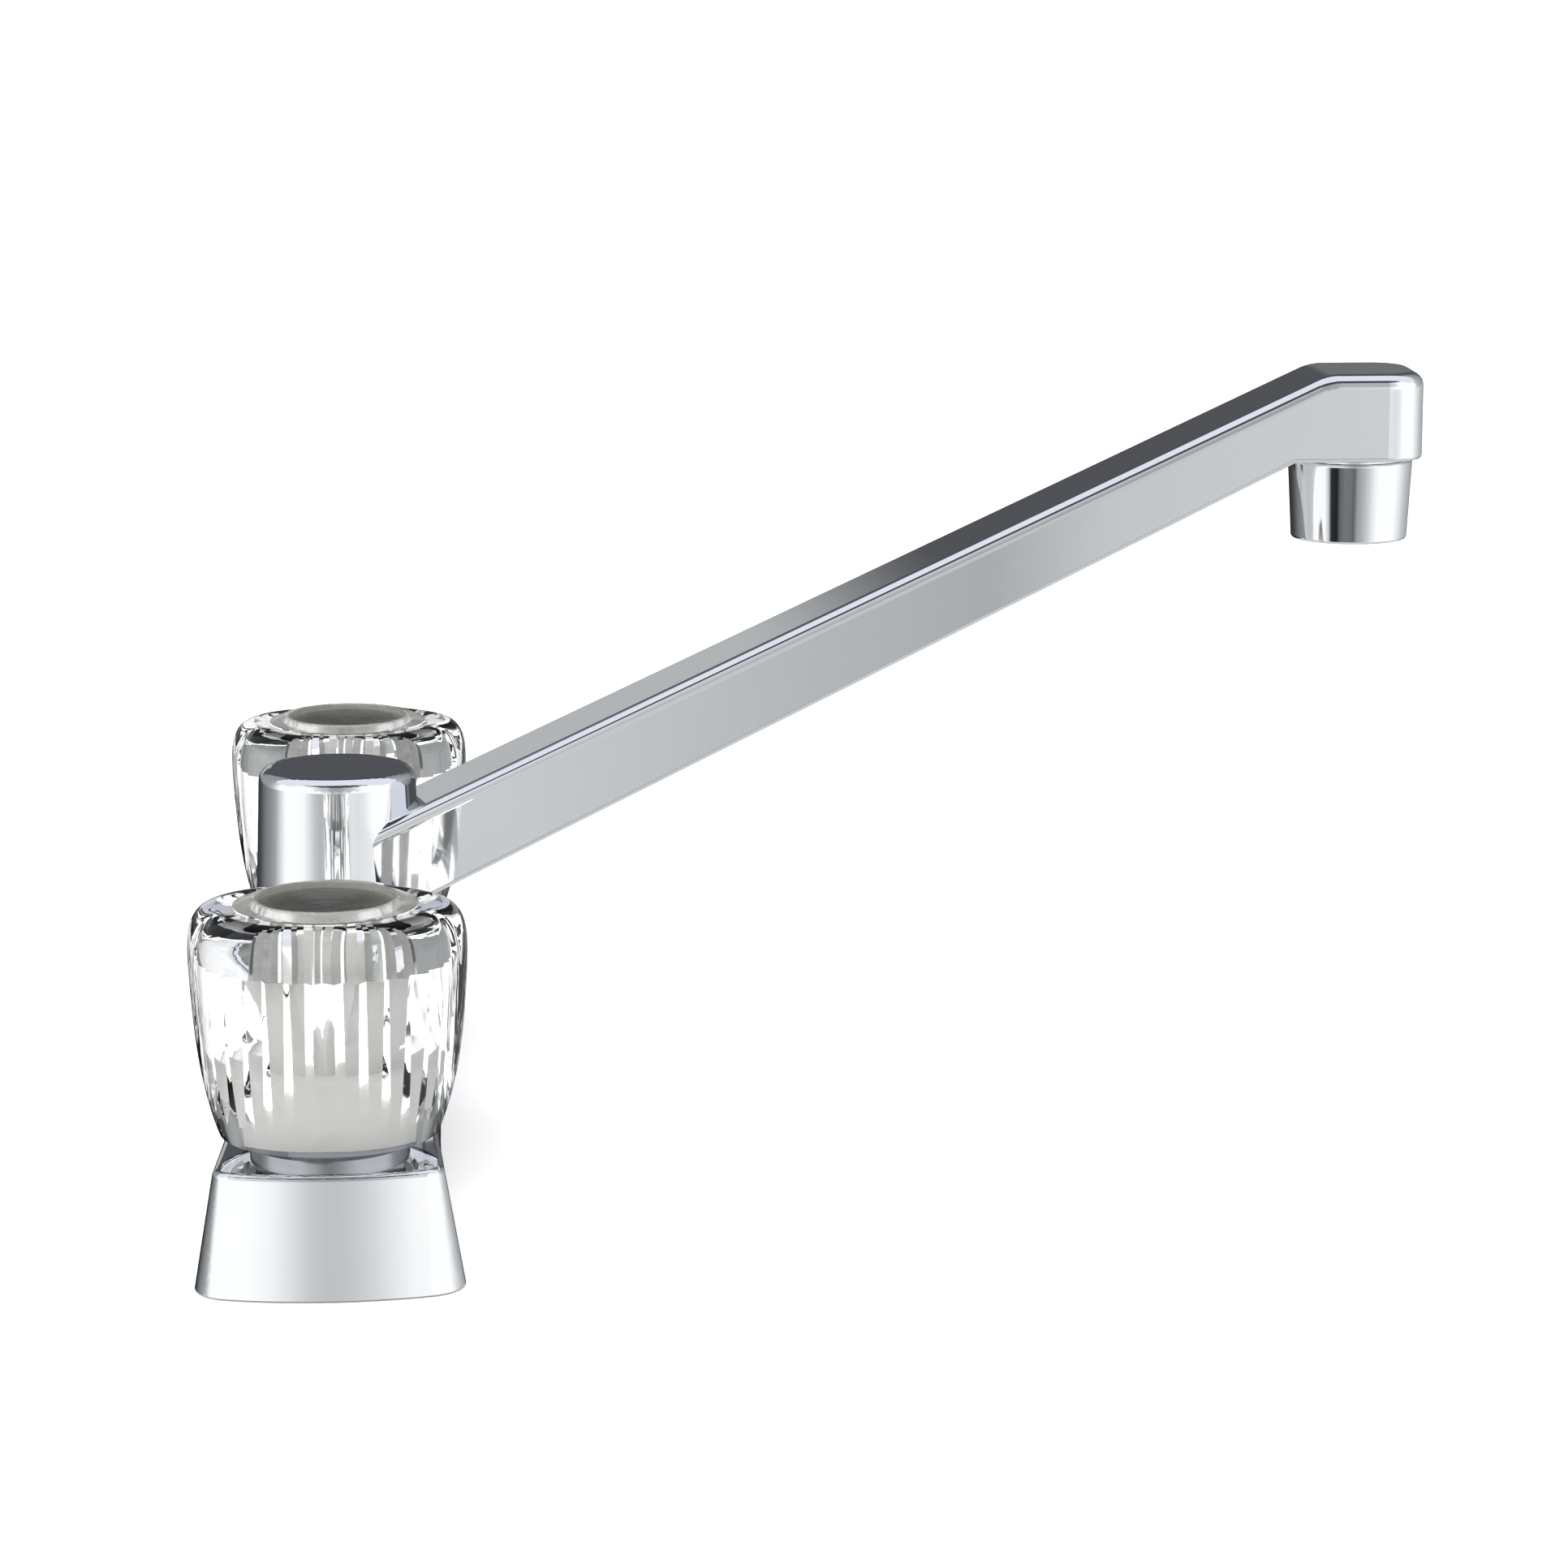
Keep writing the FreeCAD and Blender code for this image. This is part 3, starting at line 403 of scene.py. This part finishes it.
def yellow_brass():
    """Sand-cast brass: a fine grain, darker in blotches."""
    f = new_finish("yellow_brass")
    blotch = f.noise(14 * mm, 3.0)
    grain = f.speckle(0.9 * mm)
    return f.surface(
        {"Base Color": f.blend(blotch, (0.62, 0.44, 0.20), (0.78, 0.60, 0.31)),
         "Roughness": 0.30 + blotch * 0.15 + grain * 0.08,
         "Normal": f.bump(grain, 0.08 * mm, 0.35)},
        {"Metallic": 1.0})


def stainless_steel():
    """Drawn stainless steel: fine streaks along X and a faint cloud."""
    f = new_finish("stainless_steel")
    drawn = f.noise(0.8 * mm, 2.0, (0.1, 1.0, 1.0))
    cloud = f.noise(11 * mm, 2.0)
    return f.surface(
        {"Base Color": f.blend(cloud, (0.52, 0.52, 0.51), (0.66, 0.66, 0.65)),
         "Roughness": 0.24 + drawn * 0.16,
         "Normal": f.bump(drawn, 0.02 * mm, 0.5)},
        {"Metallic": 1.0})


def moulded(name, dark, light, roughness, grain_size=0.7 * mm, grain_depth=0.03 * mm, **fixed):
    """A moulded plastic or rubber: a faint cloud in its colour and a fine skin."""
    f = new_finish(name)
    cloud = f.noise(12 * mm, 3.0)
    grain = f.noise(grain_size, 2.0)
    return f.surface(
        {"Base Color": f.blend(cloud, dark, light),
         "Roughness": roughness + grain * 0.12,
         "Normal": f.bump(grain, grain_depth, 0.5)},
        {"Metallic": 0.0, **fixed})


def alumina():
    """Ceramic discs, lapped flat: pale, dense, almost polished."""
    f = new_finish("alumina")
    grain = f.speckle(0.35 * mm)
    cloud = f.noise(6 * mm, 2.0)
    return f.surface(
        {"Base Color": f.blend(cloud * 0.8 + grain * 0.2, (0.78, 0.76, 0.71), (0.90, 0.88, 0.84)),
         "Roughness": 0.14 + grain * 0.08,
         "Normal": f.bump(grain, 0.004 * mm, 0.4)},
        {"Metallic": 0.0})


finishes = {
    "chrome": mirror_chrome(),
    "clear_acrylic": clear_acrylic(),
    "brushed_disc": brushed_disc(),
    "brass": yellow_brass(),
    "stainless": stainless_steel(),
    "ceramic": alumina(),
    "seal_rubber": moulded("seal_rubber", (0.012, 0.012, 0.013), (0.03, 0.03, 0.032), 0.42),
    "gasket_rubber": moulded(
        "gasket_rubber", (0.03, 0.03, 0.032), (0.06, 0.06, 0.062), 0.62, 1.2 * mm, 0.08 * mm),
    "white_acetal": moulded("white_acetal", (0.78, 0.78, 0.75), (0.88, 0.88, 0.86), 0.32),
    "white_plastic": moulded(
        "white_plastic", (0.48, 0.48, 0.455), (0.55, 0.55, 0.525), 0.38, 1.4 * mm, 0.05 * mm,
        **{"Subsurface Weight": 0.35, "Subsurface Radius": (4 * mm, 4 * mm, 3 * mm)}),
    "grey_plastic": moulded(
        "grey_plastic", (0.30, 0.30, 0.31), (0.40, 0.40, 0.41), 0.45, 1.0 * mm, 0.05 * mm),
}


def finish_frame():
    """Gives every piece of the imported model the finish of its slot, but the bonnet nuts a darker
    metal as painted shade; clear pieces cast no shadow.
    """
    shade_nickel = shade_darkened_nickel()
    for name, piece in nodes.items():
        for place in piece.material_slots:
            slot = place.material.name.split(".")[0]
            # painted shade: the chrome bonnet nuts get the darker, greyer metal, for the shade in the
            # gap under the knobs
            place.material = shade_nickel if name.endswith("bonnet_nut") else finishes[slot]
            piece.visible_shadow = slot != "clear_acrylic"


# Threads, woven wire and grip ribs

def thread(name, y, low_z, high_z):
    """A raised screw thread round the upright shank at y."""
    g = Growth(name)
    radius = g.size("Radius", shank_r)
    pitch = g.size("Pitch", thread_pitch)
    length = g.size("Length", high_z - low_z)
    crest = g.size("Crest height", thread_crest)
    foot = g.size("Foot", (0.0, y, low_z), "NodeSocketVector")
    helix = g.add("GeometryNodeCurveSpiral", None, {
        "Resolution": 40, "Rotations": length / pitch,
        "Start Radius": radius, "End Radius": radius, "Height": length})
    upright = g.add("GeometryNodeSetCurveNormal", {"mode": "Z_UP"}, {"Curve": helix.outputs[0]})
    flank = pitch * thread_flank
    profile = g.add("GeometryNodeCurvePrimitiveQuadrilateral", {"mode": "KITE"}, {
        "Width": crest * 2.0, "Bottom Height": flank, "Top Height": flank})
    ridge = g.add("GeometryNodeCurveToMesh", None, {
        "Curve": upright.outputs[0], "Profile Curve": profile.outputs[0], "Fill Caps": True})
    placed = g.add("GeometryNodeTransform", None, {"Geometry": ridge.outputs[0], "Translation": foot})
    g.piece(placed.outputs[0], finishes["brass"], "faucet_body")


def woven_wires(g, along, across, reach, spacing, wire_r, sense):
    """The wires of a weave that run one way, cut off at a circle."""
    wires = int(2 * mesh_reach / mesh_spacing) + 1
    vertices = {along: steps_per_crossing * (wires - 1) + 1, across: wires}
    sheet = g.add("GeometryNodeMeshGrid", None, {
        "Size X": reach * 2.0, "Size Y": reach * 2.0,
        "Vertices X": vertices["X"], "Vertices Y": vertices["Y"]})
    ends = g.add("GeometryNodeInputMeshEdgeVertices")
    start = dict(zip("XYZ", g.axes(ends.outputs["Position 1"])))
    end = dict(zip("XYZ", g.axes(ends.outputs["Position 2"])))
    crossing = (start[across] - end[across]).size().above(spacing * 0.5)
    lines = g.add("GeometryNodeDeleteGeometry", {"domain": "EDGE", "mode": "EDGE_FACE"}, {
        "Geometry": sheet.outputs[0], "Selection": crossing})
    x, y, z = g.axes(g.add("GeometryNodeInputPosition").outputs[0])
    outside = (x * x + y * y).root().above(reach)
    disc = g.add("GeometryNodeDeleteGeometry", {"domain": "POINT", "mode": "ALL"}, {
        "Geometry": lines.outputs[0], "Selection": outside})
    lift = ((x + y) / spacing * math.pi).cosine() * wire_r * sense
    offset = g.add("ShaderNodeCombineXYZ", None, {2: lift})
    waved = g.add("GeometryNodeSetPosition", None, {
        "Geometry": disc.outputs[0], "Offset": offset.outputs[0]})
    curves = g.add("GeometryNodeMeshToCurve", None, {0: waved.outputs[0]})
    profile = g.add("GeometryNodeCurvePrimitiveCircle", {"mode": "RADIUS"}, {
        "Resolution": 4, "Radius": wire_r})
    wire = g.add("GeometryNodeCurveToMesh", None, {
        "Curve": curves.outputs[0], "Profile Curve": profile.outputs[0], "Fill Caps": True})
    return wire.outputs[0]


def woven_screen():
    """The fine wire screen across the aerator's mouth."""
    g = Growth("aerator_wire_screen")
    reach = g.size("Reach", mesh_reach)
    spacing = g.size("Spacing", mesh_spacing)
    wire_r = g.size("Wire radius", mesh_wire_r)
    middle = ((aerator_low.x + aerator_high.x) / 2, 0.0, aerator_low.z + mesh_lift)
    centre = g.size("Centre", middle, "NodeSocketVector")
    both = g.add("GeometryNodeJoinGeometry")
    for along, across, sense in (("X", "Y", 1.0), ("Y", "X", -1.0)):
        wires = woven_wires(g, along, across, reach, spacing, wire_r, sense)
        g.tree.links.new(wires, both.inputs[0])
    placed = g.add("GeometryNodeTransform", None, {"Geometry": both.outputs[0], "Translation": centre})
    g.piece(placed.outputs[0], finishes["stainless"], "spout")


def grip_ribs(name, y, low_z, high_z):
    """Small upright ribs round a lock nut, left out where its wings stand."""
    g = Growth(name)
    nut_r = g.size("Nut radius", lock_nut_r)
    width = g.size("Rib width", rib_width)
    height = g.size("Rib height", high_z - low_z)
    middle = g.size("Middle", (0.0, y, (low_z + high_z) / 2), "NodeSocketVector")
    circle = g.add("GeometryNodeMeshCircle", None, {"Vertices": rib_count, "Radius": nut_r})
    place = g.add("GeometryNodeInputPosition").outputs[0]
    x, y_here, z = g.axes(place)
    at_wing = (x * y_here).size().above(nut_r * nut_r * wing_share)
    free = g.add("GeometryNodeDeleteGeometry", {"domain": "POINT", "mode": "ALL"}, {
        "Geometry": circle.outputs[0], "Selection": at_wing})
    size = g.add("ShaderNodeCombineXYZ", None, {0: width, 1: width, 2: height})
    rib = g.add("GeometryNodeMeshCube", None, {"Size": size.outputs[0]})
    outward = g.add("FunctionNodeAlignRotationToVector", {"axis": "X"}, {"Vector": place})
    ribs = g.add("GeometryNodeInstanceOnPoints", None, {
        "Points": free.outputs[0], "Instance": rib.outputs[0], "Rotation": outward.outputs[0]})
    placed = g.add("GeometryNodeTransform", None, {"Geometry": ribs.outputs[0], "Translation": middle})
    g.piece(placed.outputs[0], finishes["grey_plastic"], "faucet_body")


def fine_pieces():
    woven_screen()
    for side in sides:
        y = knob_axis_y[side]
        nut_foot, nut_top = (corner.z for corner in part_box(side + "_lock_nut"))
        washer_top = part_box(side + "_shank_washer")[1].z
        thread(side + "_supply_thread", y, shank_foot_z + thread_run_out, nut_foot - supply_thread_gap)
        thread(side + "_deck_thread", y, washer_top + thread_run_out, -thread_run_out)
        grip_ribs(side + "_nut_ribs", y, nut_foot + rib_inset, nut_top - rib_inset)


# Studio

def put_in_scene(name, data):
    """A new object of the scene that shows the data."""
    piece = bpy.data.objects.new(name, data)
    bpy.context.scene.collection.objects.link(piece)
    return piece


def floor():
    """The deck that the faucet stands on, out to the horizon; the chrome mirrors the room instead."""
    far = floor_half
    mesh = bpy.data.meshes.new("floor")
    corners = [(-far, -far, 0), (far, -far, 0), (far, far, 0), (-far, far, 0)]
    mesh.from_pydata(corners, [], [(0, 1, 2, 3)])
    piece = put_in_scene("floor", mesh)
    f = new_finish("pale_floor")
    cloud = f.noise(0.8, 2.0)
    mesh.materials.append(f.surface(
        {"Base Color": f.blend(cloud, (0.955, 0.945, 0.93), (0.97, 0.96, 0.945)),
         "Roughness": 0.6 + cloud * 0.1},
        {"Specular IOR Level": 0.1}))
    piece.visible_glossy = False


def sun():
    """A very broad soft light from above, for the floor and everything that isn't a mirror."""
    light = bpy.data.lights.new("sun", "SUN")
    light.energy = sun_strength
    light.angle = sun_spread
    piece = put_in_scene("sun", light)
    piece.rotation_euler = sun_lean
    piece.visible_glossy = False
    piece.visible_transmission = False


def studio():
    """White boxes left, right and overhead, a grey one in front, and the dark room between them."""
    world = bpy.data.worlds.new("studio")
    bpy.context.scene.world = world
    f = Finish(world)
    x, y, z = f.axes(f.add("ShaderNodeTexCoord").outputs["Generated"])
    turn = x.turn_from(0 - y) / deg
    rise = z.arcsine() / deg
    off_front = turn.size()

    boxes = f.ramp(turn, high_boxes)
    front = f.blend(1.0, boxes, f.ramp(rise, front_dimming), "MULTIPLY")
    high = f.blend(off_front.step(*front_edge), front, boxes)
    behind = off_front.step(*back_wall_edge) * rise.step(*back_wall_foot)
    behind = behind.most(off_front.step(*back_wall_low_edge) * rise.step(*back_wall_low_foot))
    high = f.blend(behind, high, back_wall)
    high = f.blend(rise.step(*ceiling_edge), high, ceiling)

    room = f.blend(rise.step(*horizon), f.ramp(turn, low_boxes), high)
    room = f.blend(rise.step(*table_edge), room, f.ramp(turn, table_boxes))
    room = f.blend(rise.step(*bare_table_edge), room, bare_table)

    edges = top_light_edges
    away = y / z
    aside = (x / z).size()
    overhead = z.step(*edges["lowest"]) * away.step(*edges["near"])
    overhead = overhead * (1 - away.step(*edges["far"])) * (1 - aside.step(*edges["side"]))
    colour = f.blend(overhead, room, top_light)
    light = f.add("ShaderNodeBackground", None, {"Color": colour, "Strength": room_strength})
    f.add("ShaderNodeOutputWorld", None, {"Surface": light.outputs[0]})


def photographer():
    """The camera at the photograph's place."""
    camera = bpy.data.cameras.new("camera")
    camera.lens = camera_lens
    camera.sensor_width = camera_sensor
    camera.clip_end = camera_sight
    piece = put_in_scene("camera", camera)
    piece.location = camera_place
    piece.rotation_euler = (90 * deg - camera_pitch, 0.0, -camera_heading)
    bpy.context.scene.camera = piece
    bpy.context.scene.view_settings.view_transform = "Standard"


photographer()
floor()
sun()
studio()
finish_frame()
fine_pieces()
